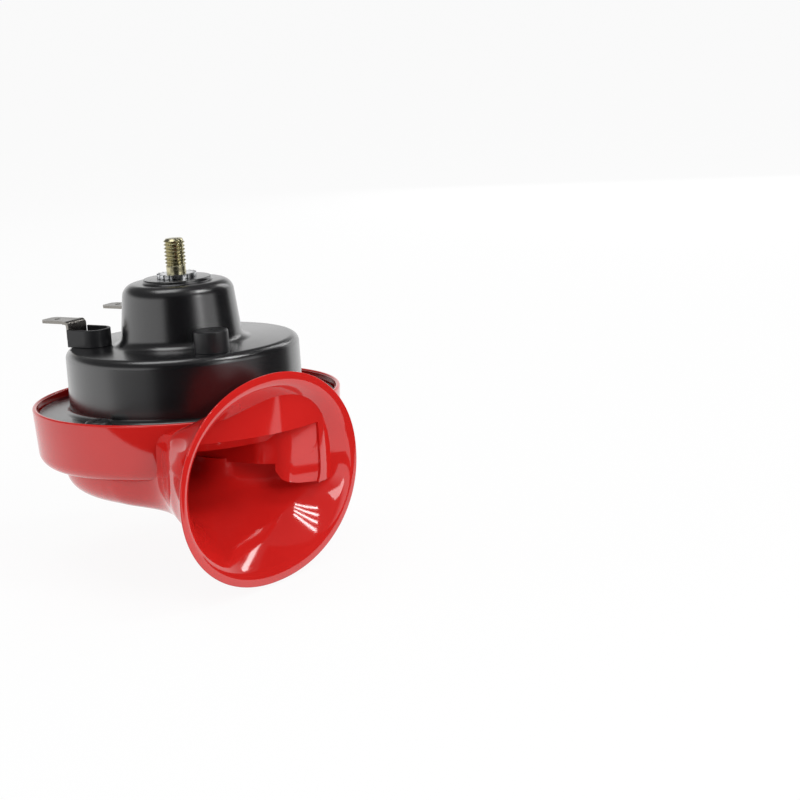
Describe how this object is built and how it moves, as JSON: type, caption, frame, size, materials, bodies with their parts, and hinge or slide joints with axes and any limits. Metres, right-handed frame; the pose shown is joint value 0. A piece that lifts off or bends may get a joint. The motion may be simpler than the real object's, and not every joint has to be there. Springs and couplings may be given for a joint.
{
  "type": "car horn",
  "caption": "Electric snail horn for a car: red trumpet with an oval bell under a black steel housing with blade terminals, hung from a threaded stud.",
  "frame": {"origin": "on the axis of the mounting stud, at the top of the lock washer, where a bracket seats", "axes": "+Z out along the stud, +Y the way the blade terminals point, and the mouth of the trumpet faces -Y on the -X side"},
  "size_m": [0.1044, 0.0888, 0.0881],
  "materials": {
    "red_plastic": "gloss",
    "black_paint": "satin",
    "yellow_zinc": "yellow passivated",
    "bright_zinc": "bright",
    "black_screw": "satin",
    "gasket_fibre": "matt",
    "spring_steel": "rolled",
    "pale_nylon": "matt",
    "copper_wire": "enamelled",
    "plain_steel": "turned",
    "tinned_blade": "tinned",
    "black_plastic": "matt",
    "brass_strip": "rolled",
    "tungsten": "ground"
  },
  "bodies": {
    "horn": {"trumpet_upper": "red_plastic", "trumpet_lower": "red_plastic", "housing": "black_paint", "mounting_stud": "yellow_zinc", "lock_washer": "bright_zinc", "flange_screws": "black_screw", "gasket_upper": "gasket_fibre", "gasket_lower": "gasket_fibre", "diaphragm": "spring_steel", "coil_bobbin": "pale_nylon", "coil_winding": "copper_wire", "coil_retainer": "plain_steel", "blade_terminal_left": "tinned_blade", "blade_terminal_right": "tinned_blade", "terminal_insulator_left": "black_plastic", "terminal_insulator_right": "black_plastic", "terminal_rivets": "bright_zinc", "terminal_spacers": "black_plastic", "fixed_contact_arm": "brass_strip", "fixed_contact_point": "tungsten", "moving_contact_point": "tungsten", "moving_contact_spring": "spring_steel", "breaker_bracket": "plain_steel", "breaker_insulators": "gasket_fibre", "breaker_rivets": "plain_steel", "coil_tag": "brass_strip", "adjusting_screw": "bright_zinc", "adjuster_nut": "plain_steel", "adjuster_plug": "black_plastic"},
    "armature": {"armature": "plain_steel", "armature_collar": "pale_nylon", "clamp_washer": "plain_steel", "armature_nut": "bright_zinc"}
  },
  "joints": [
    {"name": "armature_stroke", "type": "slide", "parent": "horn", "child": "armature", "axis": [0, 0, 1], "range_m": [-0.0004, 0.0006], "stiffness_N_per_m": 2500, "deforming": ["diaphragm", "moving_contact_spring"]}
  ]
}
